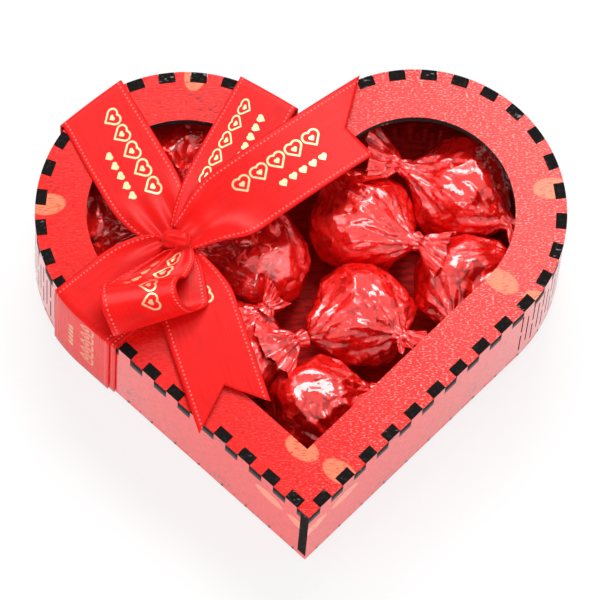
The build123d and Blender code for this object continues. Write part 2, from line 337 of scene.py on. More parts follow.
def burn_and_shade_marks(paint, run, z):
    """Mask of a wall's burns with painted shade under the lid's fingers, and of a dark dot beside each lower
    tab, part burn and part painted shade of the gap.
    """
    lobe_run = paint.times(paint.most(run, 0.0), 1.0 - BOARD / 2 / LOBE_RADIUS)
    count = paint.plus(lobe_run, paint.math("MINIMUM", run, 0.0))
    count = paint.math("DIVIDE", paint.plus(count, FIRST_TAB), TAB_PITCH)

    def from_middle(value):
        """Distance from the middle of a pitch, as a share of it."""
        return paint.absolute(paint.minus(paint.math("FRACT", value), 0.5))

    # Band of burn and painted shade under each finger of the lid
    burn_shade = paint.step(from_middle(count), *BURN_SHADE_HALF_SHARES)
    burn_shade_top = paint.step(z, LID_Z - BURN_SHADE_HEIGHT, LID_Z - BURN_SHADE_FULL_SHARE * BURN_SHADE_HEIGHT)
    dot = paint.step(from_middle(paint.plus(count, DOT_SHIFT_SHARE)), *DOT_HALF_SHARES)
    dot_top = paint.step(z, *DOT_TOPS)
    return paint.most(paint.times(burn_shade, burn_shade_top), paint.times(dot, dot_top))


def board_looks(paint, place, sheet, front, painted_sheen=0.0, burn_and_shade=0.0):
    """Colour, grain, relief and dullness of printed board with burnt cut edges and red inner faces.

    front is how far a face is turned to the print; the last two give the share of pale flecks that paint a
    sheen, and a mask of burns with painted shade.
    """
    grain = paint.noise(sheet, GRAIN)
    blotch = paint.noise(sheet, BLOTCHES)
    red = paint.mix(paint.step(grain, GRAIN.low, GRAIN.high), PRINT_DEEP, PRINT_RED)
    # Painted sheen: pale flecks, more of them to the right, where the lid catches the light
    red = paint.mix(paint.times(paint.spots(sheet, FLECKS), painted_sheen), red, PAINTED_SHEEN_PINK)
    even = paint.step(blotch, BLOTCHES.low, BLOTCHES.high)
    red = paint.mix(even, paint.mix(0.35, red, PRINT_DEEP), red)
    specks = paint.times(paint.spots(sheet, SPECKS), paint.spots(sheet, SPECK_PATCHES))
    red = paint.mix(specks, red, SPECK)
    petal = paint.times(petals(paint, sheet), paint.step(grain, 0.30, 0.50))
    red = paint.mix(petal, red, PETAL)
    # Burns and painted shade under the lid's fingers, and dark dots beside the lower tabs
    red = paint.mix(burn_and_shade, red, BURNT)

    cut = paint.mix(paint.spots(place, SCORCHES), BURNT, SCORCHED)
    # Painted glints: pale grey specks on the burnt cut edges
    glint = paint.times(paint.spots(place, GLINTS), paint.spots(place, GLINT_PATCHES))
    cut = paint.mix(glint, cut, PAINTED_GLINT_GREY)
    inside = paint.mix(paint.noise(place, INNER_CLOUDS), paint.mix(0.6, INNER_RED, BURNT), INNER_RED)
    colour = paint.mix(paint.over(front, FACING), cut, red)
    colour = paint.mix(paint.under(front, -FACING), colour, inside)
    relief = paint.plus(grain, paint.times(blotch, 0.4))
    dull = paint.times(paint.under(front, FACING), 0.95)
    return colour, grain, relief, dull


def lid_paint(name):
    """Printed lid, glossy, with pale flecks painted as a sheen that grows to the right."""
    paint = new_paint(name)
    place = paint.place()
    x, y, _ = paint.split(place)
    front = paint.split(paint.normal())[2]
    # Share of the painted sheen flecks, growing from left to right
    painted_sheen = paint.step(x, PAINTED_SHEEN_FROM, PAINTED_SHEEN_TO, PAINTED_SHEEN_LEAST, PAINTED_SHEEN_MOST)
    colour, grain, relief, dull = board_looks(paint, place, paint.join(x, y, 0.0), front, painted_sheen=painted_sheen)
    rough = paint.most(paint.step(grain, 0.36, 0.60, 0.13, 0.22), dull)
    paint.set(Base_Color=colour, Roughness=rough, Specular_IOR_Level=0.20)
    paint.bump(relief, BOARD_RELIEF, 0.55)
    return paint.block


def wall_sheet(paint, x, y, side):
    """How far a wall's face is turned outward, and the run along it from the end of its straight side."""
    mirrored = paint.math("MULTIPLY_ADD", x, float(side), -LOBE_X)
    centre = paint.join(mirrored, paint.minus(y, LOBE_Y), 0.0)
    upward = (TIP_SIN, TIP_COS, 0.0)
    outward = (TIP_COS, -TIP_SIN, 0.0)
    along = paint.dot(centre, upward)
    across = paint.dot(centre, outward)
    on_lobe = paint.most(paint.over(along, 0.0), paint.under(across, 0.0))
    normal = paint.mix(on_lobe, outward, paint.vector("NORMALIZE", centre), "VECTOR")
    facing = paint.vector("MULTIPLY", paint.normal(), (float(side), 1.0, 0.0))
    turn = paint.times(paint.math("ARCTAN2", along, across), LOBE_RADIUS)
    lobe_run = paint.times(turn, on_lobe)
    return paint.dot(facing, normal), paint.plus(lobe_run, paint.math("MINIMUM", along, 0.0))


def wall_paint(name, side):
    """Printed and varnished wall, on the right where its side is 1 and on the left where that is -1."""
    paint = new_paint(name)
    place = paint.place()
    x, y, z = paint.split(place)
    front, run = wall_sheet(paint, x, y, side)
    # Burns with painted shade under the lid's fingers and beside the lower tabs
    burn_and_shade = burn_and_shade_marks(paint, run, z)
    colour, grain, relief, dull = board_looks(paint, place, paint.join(run, z, 0.0), front, burn_and_shade=burn_and_shade)
    varnish = paint.step(y, VARNISH_FROM, VARNISH_TO, VARNISH_LEAST, VARNISH_MOST)
    varnish = paint.times(paint.over(front, FACING), varnish)
    varnish = paint.times(varnish, paint.step(burn_and_shade, 0.0, 1.0, 1.0, 0.0))
    rough = paint.most(paint.step(grain, 0.30, 0.70, 0.44, 0.32), dull)
    paint.set(Base_Color=colour, Roughness=rough, Specular_IOR_Level=0.1)
    paint.set(Coat_Weight=varnish, Coat_Roughness=0.14, Coat_IOR=1.65)
    paint.bump(relief, BOARD_RELIEF, 0.12)
    return paint.block


def bottom_paint(name):
    """Plain red board with fibres, and the print's red on its finger ends."""
    paint = new_paint(name)
    place = paint.place()
    fibre = paint.noise(place, FIBRES)
    share = paint.step(fibre, FIBRES.low, FIBRES.high)
    plain = paint.mix(share, paint.mix(0.5, INNER_RED, BURNT), INNER_RED)
    finger = paint.mix(paint.spots(place, FINGER_SPOTS), PRINT_RED, SCORCHED)
    edge = paint.under(paint.absolute(paint.split(paint.normal())[2]), FACING)
    rough = paint.step(fibre, FIBRES.low, FIBRES.high, 0.62, 0.5)
    paint.set(Base_Color=paint.mix(edge, plain, finger), Roughness=rough, Specular_IOR_Level=0.1)
    paint.set(Coat_Weight=paint.times(edge, 0.7), Coat_Roughness=0.14)
    paint.bump(fibre, BOARD_RELIEF, 0.3)
    return paint.block


# Noises of the satin, on the flat ribbon, and the sizes of its weave and stitches
STREAKS = Spots((2600.0, 60.0, 1.0), 0.30, 0.72, rough=0.6)
SATIN_CLOUDS = Spots(120.0, 0.30, 0.56, 3.0)
GOLD_WEAR = Spots(1500.0, 0.22, 0.40)
STITCH_INSET = 1.3 * MM
STITCH_PITCH = 1.25 * MM
STITCH_HALVES = (0.32 * MM, 0.16 * MM)
WEFT_PITCH = 0.42 * MM
SATIN_RELIEF = 0.06 * MM

# The gold print: rows of hearts, each on its point at foot, in cells from start to end of a period.
# A line is half the width of an outline, as a share of the heart's size, and 0 fills the heart.
PRINT_PERIOD = 66.0 * MM
HEART_ROWS = (
    {"cell": 6.0 * MM, "foot": 0.4 * MM, "size": 4.2 * MM, "start": 6 * MM, "end": 36 * MM, "line": 0.07},
    {"cell": 6.0 * MM, "foot": 1.9 * MM, "size": 1.5 * MM, "start": 6 * MM, "end": 36 * MM, "line": 0.0},
    {"cell": 3.4 * MM, "foot": -4.9 * MM, "size": 2.1 * MM, "start": 17 * MM, "end": 34 * MM, "line": 0.0},
)
HEART_SOFT = 0.03


def heart_row(paint, along, across, cell, foot, size, start, end, line):
    """Mask of a row of hearts along a ribbon."""
    local = paint.minus(paint.math("MODULO", along, cell), cell / 2)
    a = paint.absolute(paint.math("DIVIDE", local, size))
    b = paint.math("DIVIDE", paint.minus(across, foot), size)

    def far(first, second):
        return paint.math("MULTIPLY_ADD", first, first, paint.times(second, second))

    # Signed distance from a heart that stands on its point, one unit high
    total = paint.plus(a, b)
    half = paint.times(paint.most(total, 0.0), 0.5)
    round_top = far(paint.minus(a, 0.25), paint.minus(b, 0.75))
    round_top = paint.minus(paint.math("SQRT", round_top), math.sqrt(2.0) / 4.0)
    cleft = far(a, paint.minus(b, 1.0))
    flank = far(paint.minus(a, half), paint.minus(b, half))
    side = paint.math("SQRT", paint.math("MINIMUM", cleft, flank))
    side = paint.times(side, paint.math("SIGN", paint.minus(a, b)))
    on_top = paint.over(total, 1.0)
    distance = paint.math("MULTIPLY_ADD", on_top, paint.minus(round_top, side), side)
    if line:
        distance = paint.minus(paint.absolute(distance), line)
    mask = paint.step(distance, HEART_SOFT, -HEART_SOFT)
    row = paint.times(paint.over(along, start), paint.under(along, end))
    return paint.times(mask, row)


def gold_print(paint, flat, u, v):
    """Mask of the rows of hearts, rubbed off in places."""
    along = paint.math("FLOORED_MODULO", v, PRINT_PERIOD)
    gold = 0.0
    for row in HEART_ROWS:
        gold = paint.most(gold, heart_row(paint, along, u, **row))
    return paint.times(gold, paint.spots(flat, GOLD_WEAR))


def satin_paint(name, printed=True):
    """Satin ribbon with stitched edges, and hearts if printed. Its UV map is the flat ribbon in metres."""
    paint = new_paint(name)
    flat = paint.node("ShaderNodeUVMap", uv_map="ribbon").outputs[0]
    u, v, _ = paint.split(flat)
    streak = paint.noise(flat, STREAKS)
    share = paint.step(streak, STREAKS.low, STREAKS.high)
    colour = paint.mix(share, paint.mix(0.65, SATIN_DEEP, SATIN), SATIN)
    colour = paint.mix(paint.spots(flat, SATIN_CLOUDS), paint.mix(0.55, SATIN_DEEP, SATIN), colour)

    # Stitches in a line beside each edge
    edge = paint.minus(HALF_RIBBON, paint.absolute(u))
    near = paint.absolute(paint.minus(edge, STITCH_INSET))
    threads = paint.step(paint.wave(v, STITCH_PITCH), -0.2, 0.5)
    stitch = paint.times(paint.step(near, *STITCH_HALVES), threads)
    colour = paint.mix(paint.times(stitch, 0.8), colour, STITCH)
    if printed:
        gold = gold_print(paint, flat, u, v)
        colour = paint.mix(gold, colour, GOLD)
        paint.set(Metallic=paint.times(gold, 0.55))

    weft = paint.wave(v, WEFT_PITCH)
    relief = paint.math("MULTIPLY_ADD", weft, 0.10, paint.times(streak, 0.5))
    relief = paint.minus(relief, stitch)
    rough = paint.step(streak, 0.25, 0.75, 0.26, 0.36)
    paint.set(Base_Color=colour, Roughness=rough, Specular_IOR_Level=0.10)
    paint.set(Sheen_Weight=0.02, Sheen_Roughness=0.4)
    paint.bump(relief, SATIN_RELIEF, 0.6)
    return paint.block


# Noises of the film, how far it shifts its facets, and the facets' count to the metre and their lean
FILM_WARP = Spots(130.0)
FILM_SHIFT = 6.0 * MM
FINE_PATCHES = Spots(95.0, 0.36, 0.50)
FILM_CLOUDS = Spots(100.0, 0.30, 0.58, 3.0, 0.6)
LARGE_FACETS = (210.0, 0.42)
FINE_FACETS = (480.0, 0.80)


def film_paint(name):
    """Glossy red film: flat facets with sharp edges, and finer ones in patches."""
    paint = new_paint(name)
    place = paint.place()
    warp = paint.noise(place, FILM_WARP)
    shift = paint.vector("SCALE", paint.join(warp, warp, warp), None, None, FILM_SHIFT)
    moved = paint.vector("ADD", place, shift)

    def facets(scale, lean):
        """Height of flat facets that lean at random."""
        cells = paint.node("ShaderNodeTexVoronoi", {"Vector": moved, "Scale": scale}, feature="F1")
        local = paint.vector("SUBTRACT", moved, cells.outputs["Position"])
        aim = paint.vector("SUBTRACT", cells.outputs["Color"], (0.5, 0.5, 0.5))
        return paint.times(paint.dot(local, aim), lean)

    colour = paint.mix(paint.spots(place, FILM_CLOUDS), FILM_DEEP, FILM)
    paint.set(Base_Color=colour, Metallic=0.20, Roughness=0.27)
    paint.set(Coat_Weight=1.0, Coat_Roughness=0.05, Coat_IOR=1.6)
    fine = paint.times(facets(*FINE_FACETS), paint.spots(place, FINE_PATCHES))
    paint.bump(paint.plus(facets(*LARGE_FACETS), fine), 1.0)
    return paint.block


BLOOM = Spots(350.0, 0.35, 0.7, 4.0, 0.6)
BLOOM_RELIEF = 0.08 * MM


def cocoa_paint(name):
    """Chocolate with a faint bloom."""
    paint = new_paint(name)
    bloom = paint.noise(paint.place(), BLOOM)
    colour = paint.mix(paint.step(bloom, BLOOM.low, BLOOM.high), COCOA, COCOA_PALE)
    paint.set(Base_Color=colour, Roughness=paint.step(bloom, 0.3, 0.7, 0.36, 0.52))
    paint.bump(bloom, BLOOM_RELIEF, 0.5)
    return paint.block


satin = satin_paint("satin_printed")
plain_satin = satin_paint("satin_plain", printed=False)
film_red = film_paint("film_red")
cocoa = cocoa_paint("cocoa")


def wear(node, material):
    """Give a CAD node its material."""
    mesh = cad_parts[node].data
    mesh.materials.clear()
    mesh.materials.append(material)


wear("lid_panel", lid_paint("board_lid"))
wear("wall_right", wall_paint("board_wall_right", 1))
wear("wall_left", wall_paint("board_wall_left", -1))
wear("bottom_panel", bottom_paint("board_bottom"))


def add_mesh(name, points, faces, material, body, replaced, uvs=None):
    """A smooth-shaded mesh piece that rides on a body in place of a CAD node."""
    mesh = bpy.data.meshes.new(name)
    mesh.from_pydata([tuple(p) for p in points], [], faces)
    if uvs:
        layer = mesh.uv_layers.new(name="ribbon")
        for loop in mesh.loops:
            layer.data[loop.index].uv = uvs[loop.vertex_index]
    mesh.polygons.foreach_set("use_smooth", [True] * len(mesh.polygons))
    mesh.materials.append(material)
    piece = bpy.data.objects.new(name, mesh)
    scene.collection.objects.link(piece)
    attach(piece, body)
    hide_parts(replaced)
    return piece


def grid_faces(rows, columns):
    """Faces of a grid of points, row by row."""
    return [
        (i * columns + j, i * columns + j + 1, (i + 1) * columns + j + 1, (i + 1) * columns + j)
        for i in range(rows - 1)
        for j in range(columns - 1)
    ]


def tube_faces(rings, around, first=0):
    """Faces of a tube of points, ring by ring, counted from the first one's number."""
    faces = []
    for i in range(rings - 1):
        near, far = first + i * around, first + (i + 1) * around
        for k in range(around):
            following = (k + 1) % around
            faces.append((near + k, near + following, far + following, far + k))
    return faces


def ribbon_piece(node, rows, across, along, body="ribbon"):
    """A ribbon sheet in place of a node. across and along give each point's place on the flat ribbon."""
    points = [p for row in rows for p in row]
    uvs = [place for row in along for place in zip(across, row)]
    faces = grid_faces(len(rows), len(across))
    piece = add_mesh(node + "_sheet", points, faces, satin, body, node, uvs)
    solid = piece.modifiers.new("thickness", "SOLIDIFY")
    solid.thickness = SHEET_THICK
    solid.offset = 0.0


# How far in and out a strap's fold is looked for at the lid's edge, and how often that is halved
EDGE_SEARCH = 8.0 * MM
EDGE_HALVINGS = 30


def on_straight(dx, dy):
    """Whether a place, measured from a lobe's centre, lies on the straight side's part of the heart."""
    along = dx * TIP_SIN + dy * TIP_COS
    across = dx * TIP_COS - dy * TIP_SIN
    return along < 0 and (across > 0 or dy < 0)


def inset_left(x, y):
    """Distance in from the outline of the heart's left half."""
    dx, dy = -x - LOBE_X, y - LOBE_Y
    if on_straight(dx, dy):
        return LOBE_RADIUS - dx * TIP_COS + dy * TIP_SIN
    return LOBE_RADIUS - math.hypot(dx, dy)


def wall_normal_left(x, y):
    """Outward direction of the left half's wall."""
    dx, dy = -x - LOBE_X, y - LOBE_Y
    if on_straight(dx, dy):
        return Vector((-TIP_COS, -TIP_SIN, 0.0))
    return Vector((-dx, dy, 0.0)).normalized()


def edge_place(angle):
    """Middle and outward direction of a strap that crosses the left lobe's edge at an angle."""
    outward = Vector((math.cos(angle), math.sin(angle), 0.0))
    return Vector((-LOBE_X, LOBE_Y, 0.0)) + outward * LOBE_RADIUS, outward


def edge_points(edge, offsets, out):
    """Where a strap's lines meet the wall, moved out from it."""
    middle, outward = edge
    sideways = Vector((-outward.y, outward.x, 0.0))
    points = []
    for offset in offsets:
        line = middle + sideways * offset
        low, high = -EDGE_SEARCH, EDGE_SEARCH
        for _ in range(EDGE_HALVINGS):
            reach = (low + high) / 2
            p = line + outward * reach
            if inset_left(p.x, p.y) > -out:
                low = reach
            else:
                high = reach
        points.append(line + outward * low)
    return points


def pleat(offset, amount, folds, phase):
    """Height of a gathered ribbon's pleats at a place across it."""
    return amount * (0.5 + 0.5 * math.cos(folds * math.pi * offset / HALF_RIBBON + phase))


# A strap's start from the knot's middle, its bend at the lid's edge, its lower end, and its pleats
STRAP_START = 2.6 * MM
STRAP_BEND = 1.1 * MM
STRAP_CLEAR = 0.05 * MM
STRAP_LOW = LAYER + STRAP_CLEAR
STRAP_PLEAT = 0.7 * MM
STRAP_PLEATS = 3
STRAP_FLARE = 2.4
TOP_ROWS, TURN_ROWS, DROP_ROWS = 44, 6, 16


def fold_down(rows, lengths, ends, on_wall, top):
    """Add a strap's rows round the lid's edge and down the wall."""
    flat_length = lengths[-1]
    for i in range(1, TURN_ROWS + 1):
        angle = math.pi / 2 * i / TURN_ROWS
        z = top - STRAP_BEND * (1.0 - math.cos(angle))
        back = STRAP_BEND * (1.0 - math.sin(angle))
        turned = [end - wall_normal_left(end.x, end.y) * back for end in ends]
        rows.append([Vector((p.x, p.y, z)) for p in turned])
        lengths.append(flat_length + STRAP_BEND * angle)
    turn_z = top - STRAP_BEND
    for i in range(1, DROP_ROWS + 1):
        z = turn_z + (STRAP_LOW - turn_z) * i / DROP_ROWS
        hang = smooth(0.0, 0.7, i / DROP_ROWS)
        hung = [end.lerp(wall, hang) for end, wall in zip(ends, on_wall)]
        rows.append([Vector((p.x, p.y, z)) for p in hung])
        lengths.append(flat_length + STRAP_BEND * math.pi / 2 + turn_z - z)


def strap(name, edge, level, reach, phase, print_from, outward_print=True, taut=0.0, sides=(1.0, 1.0)):
    """A strap from under the knot over the lid's edge and down the wall. Its print reads outward or inward.

    A taut strap's fold is straighter than the lid's edge, and its right and left sides can be drawn in.
    """
    out = (level + 1) * LAYER - RIBBON_THICK / 2
    top = TOP_Z + RIBBON_GAP + level * LAYER + RIBBON_THICK / 2
    middle, outward = edge
    sideways = Vector((-outward.y, outward.x, 0.0))
    lanes = [offset * sides[offset > 0] for offset in ACROSS]
    on_wall = edge_points(edge, lanes, out)
    farthest = max((p - middle).dot(outward) for p in on_wall)
    ends = [p + outward * (taut * (farthest - (p - middle).dot(outward))) for p in on_wall]
    span = middle + outward * out - KNOT
    ahead = span.normalized()
    lateral = Vector((-ahead.y, ahead.x, 0.0))
    rows, lengths = [], []
    for i in range(TOP_ROWS):
        t = i / (TOP_ROWS - 1)
        far = STRAP_START + (span.length - STRAP_START) * t
        width = NECK_SHARE + (1.0 - NECK_SHARE) * (1.0 - (1.0 - min(far / reach, 1.0)) ** STRAP_FLARE)
        side = lateral.lerp(sideways, t).normalized()
        fold = 1.0 - smooth(0.25, 1.0, far / reach)
        row = []
        for offset, end in zip(lanes, ends):
            sag = end - (middle + outward * out + sideways * offset)
            p = KNOT + ahead * far + side * (offset * width) + sag * smooth(0.55, 1.0, t)
            p = p - wall_normal_left(end.x, end.y) * STRAP_BEND * smooth(0.6, 1.0, t)
            row.append(Vector((p.x, p.y, top + pleat(offset, STRAP_PLEAT * fold, STRAP_PLEATS, phase))))
        rows.append(row)
        lengths.append(far)
    fold_down(rows, lengths, ends, on_wall, top)
    sign = 1.0 if outward_print else -1.0
    printed = [[sign * (far - print_from)] * len(ACROSS) for far in lengths]
    flipped = [sign * offset for offset in ACROSS]
    ribbon_piece(name, rows, flipped, printed)


def heading(degrees):
    """Forward and left directions of a heading from the knot."""
    angle = math.radians(degrees)
    return Vector((math.cos(angle), math.sin(angle), 0.0)), Vector((-math.sin(angle), math.cos(angle), 0.0))


# A ribbon end's start from the knot's middle, the length over which it widens, and that over which it rises
TAIL_START = 2.0 * MM
TAIL_FLARE = 20.0 * MM
TAIL_RISE = 6.0 * MM
TAIL_ROWS = 60
# Where an end's gathers begin to fade, and the middle and spread of its rolled edge
GATHER_FROM = 4.0 * MM
ROLL_MIDDLE = 11.0 * MM
ROLL_SPREAD = 7.0 * MM


def end_curl(v, offset, gather, gather_to, phase, roll=0.0):
    """Height of a ribbon end's gathers beside the knot, and of its right edge where that rolls up."""
    fold = pleat(offset, gather, 2, phase) * (1.0 - smooth(GATHER_FROM, gather_to, v))
    beside = math.exp(-((v - ROLL_MIDDLE) / ROLL_SPREAD) ** 2)
    return roll * beside * smooth(0.1, 1.0, -offset / HALF_RIBBON) + fold


def tail(name, degrees, points, notch, rise, print_from, curl):
    """A ribbon end that bows up a little, curls, and finishes in a right and a left point."""
    ahead, left = heading(degrees)
    far = max(points)
    crest = (KNOT_REACH + far) / 2
    lengths = [notch + (points[offset > 0] - notch) * abs(offset) / HALF_RIBBON for offset in ACROSS]
    rows, along = [], []
    for i in range(TAIL_ROWS):
        s = i / (TAIL_ROWS - 1)
        row, row_along = [], []
        for offset, length in zip(ACROSS, lengths):
            v = TAIL_START + (length - TAIL_START) * s
            width = NECK_SHARE + (1.0 - NECK_SHARE) * smooth(-0.35, 1.0, v / TAIL_FLARE * 1.1 - 0.1)
            p = KNOT + ahead * v + left * (offset * width)
            bow = rise * (1.0 - ((v - crest) / (far - crest)) ** 2)
            bow = max(bow, 0.0) * smooth(KNOT_REACH, KNOT_REACH + TAIL_RISE, v)
            row.append(Vector((p.x, p.y, TAIL_Z + RIBBON_THICK / 2 + bow + end_curl(v, offset, **curl))))
            row_along.append(print_from + v)
        rows.append(row)
        along.append(row_along)
    ribbon_piece(name, rows, ACROSS, along)


# The bow loop: its heading, its roll's right and left ends as middle, height and radius, and its pleats
LOOP_HEADING = -77.0
LOOP_RIGHT = (Vector((-54.6, -7.6, 0.0)) * MM, TOP_Z + 8.9 * MM, 7.3 * MM)
LOOP_LEFT = (Vector((-33.4, -2.7, 0.0)) * MM, TOP_Z + 7.4 * MM, 5.0 * MM)
LOOP_LOW = KNOT_Z + 0.2 * MM
LOOP_START = 2.6 * MM
LOOP_NECK_SHARE = 0.34
LOOP_PLEAT = 0.7 * MM
NECK_PLEAT_SHARE = 0.3
LOOP_PRINT = 38.0 * MM
LOOP_ROWS = 120
# Its way out and back: shares of the way between knot and roll, shifts of its left side, and heights
OUT_SHARE, OUT_SHIFT, OUT_DIP = 0.45, 4.0 * MM, 0.3 * MM
VALLEY_SHARE, VALLEY_SHIFT = 0.42, 3.0 * MM
VALLEY_RADIUS_SHARES = (-0.55, -0.66)
BACK_SHARE, BACK_SHIFT, BACK_RISE = 0.78, 1.5 * MM, 1.6 * MM
END_RISE = 2.6 * MM
# Points round the roll: forward and up in shares of its radius, and their shift to the left at its two ends
LOOP_ROLL = (
    (-0.35, -1.00, 1.0 * MM, 7.0 * MM),
    (0.55, -0.86, 0.8 * MM, 6.0 * MM),
    (0.97, -0.22, -0.5 * MM, 2.0 * MM),
    (0.84, 0.54, -1.5 * MM, -1.0 * MM),
    (0.26, 0.97, -2.4 * MM, -2.5 * MM),
    (-0.44, 0.90, -2.0 * MM, -2.0 * MM),
    (-0.93, 0.36, -1.0 * MM, 0.0),
    (-1.10, -0.30, 0.0, 2.0 * MM),
)


def loop_line(offset):
    """The loop's path at a place across it: out along the lid, round the roll, and back over itself."""
    ahead, left = heading(LOOP_HEADING)
    share = 0.5 + 0.5 * offset / HALF_RIBBON
    axis = LOOP_RIGHT[0].lerp(LOOP_LEFT[0], share)
    middle = LOOP_RIGHT[1] + (LOOP_LEFT[1] - LOOP_RIGHT[1]) * share
    radius = LOOP_RIGHT[2] + (LOOP_LEFT[2] - LOOP_RIGHT[2]) * share
    neck = KNOT + left * (offset * LOOP_NECK_SHARE)
    fold = pleat(offset, LOOP_PLEAT, 3, 1.2)
    roll = []
    for forward, up, right_shift, left_shift in LOOP_ROLL:
        side = left * (right_shift + (left_shift - right_shift) * share)
        roll.append((axis + ahead * (forward * radius) + side, middle + up * radius))
    valley_forward, valley_up = VALLEY_RADIUS_SHARES
    valley = axis.lerp(neck, VALLEY_SHARE) + ahead * (valley_forward * radius) + left * (VALLEY_SHIFT * share)
    path = [
        (neck + ahead * LOOP_START, LOOP_LOW + fold * NECK_PLEAT_SHARE),
        (neck.lerp(axis, OUT_SHARE) + left * (OUT_SHIFT * share), LOOP_LOW - OUT_DIP + fold),
        *roll,
        (valley, middle + valley_up * radius + fold),
        (axis.lerp(neck, BACK_SHARE) + left * (BACK_SHIFT * share), LOOP_LOW + BACK_RISE + fold),
        (neck + ahead * LOOP_START, LOOP_LOW + END_RISE + fold * NECK_PLEAT_SHARE),
    ]
    return spline([Vector((p.x, p.y, z)) for p, z in path], LOOP_ROWS)


def bow_loop(name):
    """The bow's puffed loop."""
    lines = [loop_line(offset) for offset in ACROSS]
    rows = [list(row) for row in zip(*lines)]
    along, length = [[LOOP_PRINT] * len(ACROSS)], 0.0
    for before, after in zip(rows, rows[1:]):
        length += sum((b - a).length for a, b in zip(before, after)) / len(ACROSS)
        along.append([length + LOOP_PRINT] * len(ACROSS))
    ribbon_piece(name, rows, ACROSS, along)


# The knot's size, and its place on the flat ribbon
KNOT_HALF_LENGTH = 4.0 * MM
KNOT_HALF_WIDTH = 3.3 * MM
KNOT_HEIGHT = 4.2 * MM
KNOT_HEADING = -6.0
KNOT_FLAT_HALF = 10.4 * MM
KNOT_FLAT_RADIUS = 3.0 * MM
KNOT_RINGS, KNOT_AROUND = 44, 64
# Its creases: depth as a share, count round it and slant. Its lip: depth as a share, place, slant and width
KNOT_CREASES = ((0.05, 5, 1.6), (0.035, 9, -2.4))
LIP_DEPTH_SHARE, LIP_PLACE, LIP_SLANT, LIP_WIDTH = 0.10, 0.15, 0.25, 0.10


def knot_piece(name):
    """The knot: a short wrapped band with creases along it."""
    ahead, left = heading(KNOT_HEADING)
    points, uvs = [], []
    for i in range(KNOT_RINGS):
        s = 2.0 * i / (KNOT_RINGS - 1) - 1.0
        end = max(1.0 - abs(s) ** 4.5, 0.0) ** 0.5
        pinch = 0.88 + 0.14 * s * s
        for k in range(KNOT_AROUND):
            angle = 2 * math.pi * k / KNOT_AROUND
            creases = [deep * math.cos(count * angle + slant * s) for deep, count, slant in KNOT_CREASES]
            beside = (s - LIP_SLANT * math.cos(angle) - LIP_PLACE) / LIP_WIDTH
            lip = 1.0 - LIP_DEPTH_SHARE * math.exp(-beside**2)
            girth = end * (1.0 + sum(creases)) * pinch * lip
            p = KNOT + ahead * (s * KNOT_HALF_LENGTH) + left * (math.cos(angle) * KNOT_HALF_WIDTH * girth)
            z = KNOT_Z + KNOT_HEIGHT / 2 * (1.0 + math.sin(angle) * girth)
            points.append(Vector((p.x, p.y, z)))
            uvs.append((s * KNOT_FLAT_HALF, angle * KNOT_FLAT_RADIUS))
    faces = tube_faces(KNOT_RINGS, KNOT_AROUND)
    add_mesh(name + "_band", points, faces, plain_satin, "ribbon", name, uvs)


# A run under the box: its rows of points, and the steps in which its start moves out of another run
UNDER_ROWS = 40
UNDER_STEP_SHARE = 0.005
UNDER_LAST_SHARE = 0.95
UNDER_CLEAR = 0.2 * MM


def under_run(name, first, second, clear=None):
    """The ribbon under the box between two straps, cut short where it meets another run."""
    out = LAYER - RIBBON_THICK / 2
    starts = edge_points(first, ACROSS, out)
    ends = list(reversed(edge_points(second, ACROSS, out)))
    rows, along = [[] for _ in range(UNDER_ROWS)], [[] for _ in range(UNDER_ROWS)]
    for start, end in zip(starts, ends):
        begin = 0.0
        if clear:
            while begin < UNDER_LAST_SHARE and clear(start.lerp(end, begin)):
                begin += UNDER_STEP_SHARE
        for i in range(UNDER_ROWS):
            p = start.lerp(end, begin + (1.0 - begin) * i / (UNDER_ROWS - 1))
            rows[i].append(Vector((p.x, p.y, RIBBON_THICK / 2)))
            along[i].append((p - start).length)
    ribbon_piece(name, rows, ACROSS, along, "box")


# The straps' edges on the left half, at angles round its lobe. The inner front strap lies further to the tip
INNER_SLIDE = 2.0 * MM
back_edge = edge_place(math.radians(128.0))
cleft_edge = edge_place(math.radians(58.5))
front_edge = edge_place(math.pi + HALF_TIP)
to_tip = Vector((TIP_SIN, -TIP_COS, 0.0))
inner_edge = (front_edge[0] + to_tip * INNER_SLIDE, front_edge[1])


def in_long_run(p):
    """Whether a point lies in the longer run under the box."""
    start, end = front_edge[0], cleft_edge[0]
    run = (end - start).normalized()
    side = Vector((-run.y, run.x, 0.0))
    return abs((p - start).dot(side)) < HALF_RIBBON + UNDER_CLEAR


strap(
    "ribbon_strap_back_left", back_edge, level=0, reach=22.0 * MM, phase=0.4,
    print_from=51.0 * MM, outward_print=False, taut=0.85,
)
strap(
    "ribbon_strap_cleft", cleft_edge, level=1, reach=28.0 * MM, phase=2.0,
    print_from=13.0 * MM, taut=0.85, sides=(1.04, 0.68),
)
strap("ribbon_strap_front_inner", inner_edge, level=0, reach=20.0 * MM, phase=1.0, print_from=66.0 * MM)
strap("ribbon_strap_front", front_edge, level=1, reach=20.0 * MM, phase=2.6, print_from=31.0 * MM)
tail(
    "ribbon_end_back", 34.4, points=(60.6 * MM, 71.8 * MM), notch=59.0 * MM, rise=2.6 * MM,
    print_from=-16.0 * MM, curl={"gather": 0.9 * MM, "gather_to": 20.0 * MM, "phase": 0.6, "roll": 3.6 * MM},
)
tail(
    "ribbon_end_front", -73.3, points=(55.7 * MM, 52.7 * MM), notch=44.2 * MM, rise=0.4 * MM,
    print_from=16.0 * MM, curl={"gather": 0.5 * MM, "gather_to": 16.0 * MM, "phase": 0.2},
)
bow_loop("ribbon_loop")
knot_piece("ribbon_knot")
under_run("ribbon_under_long", front_edge, cleft_edge)
under_run("ribbon_under_short", front_edge, back_edge, in_long_run)

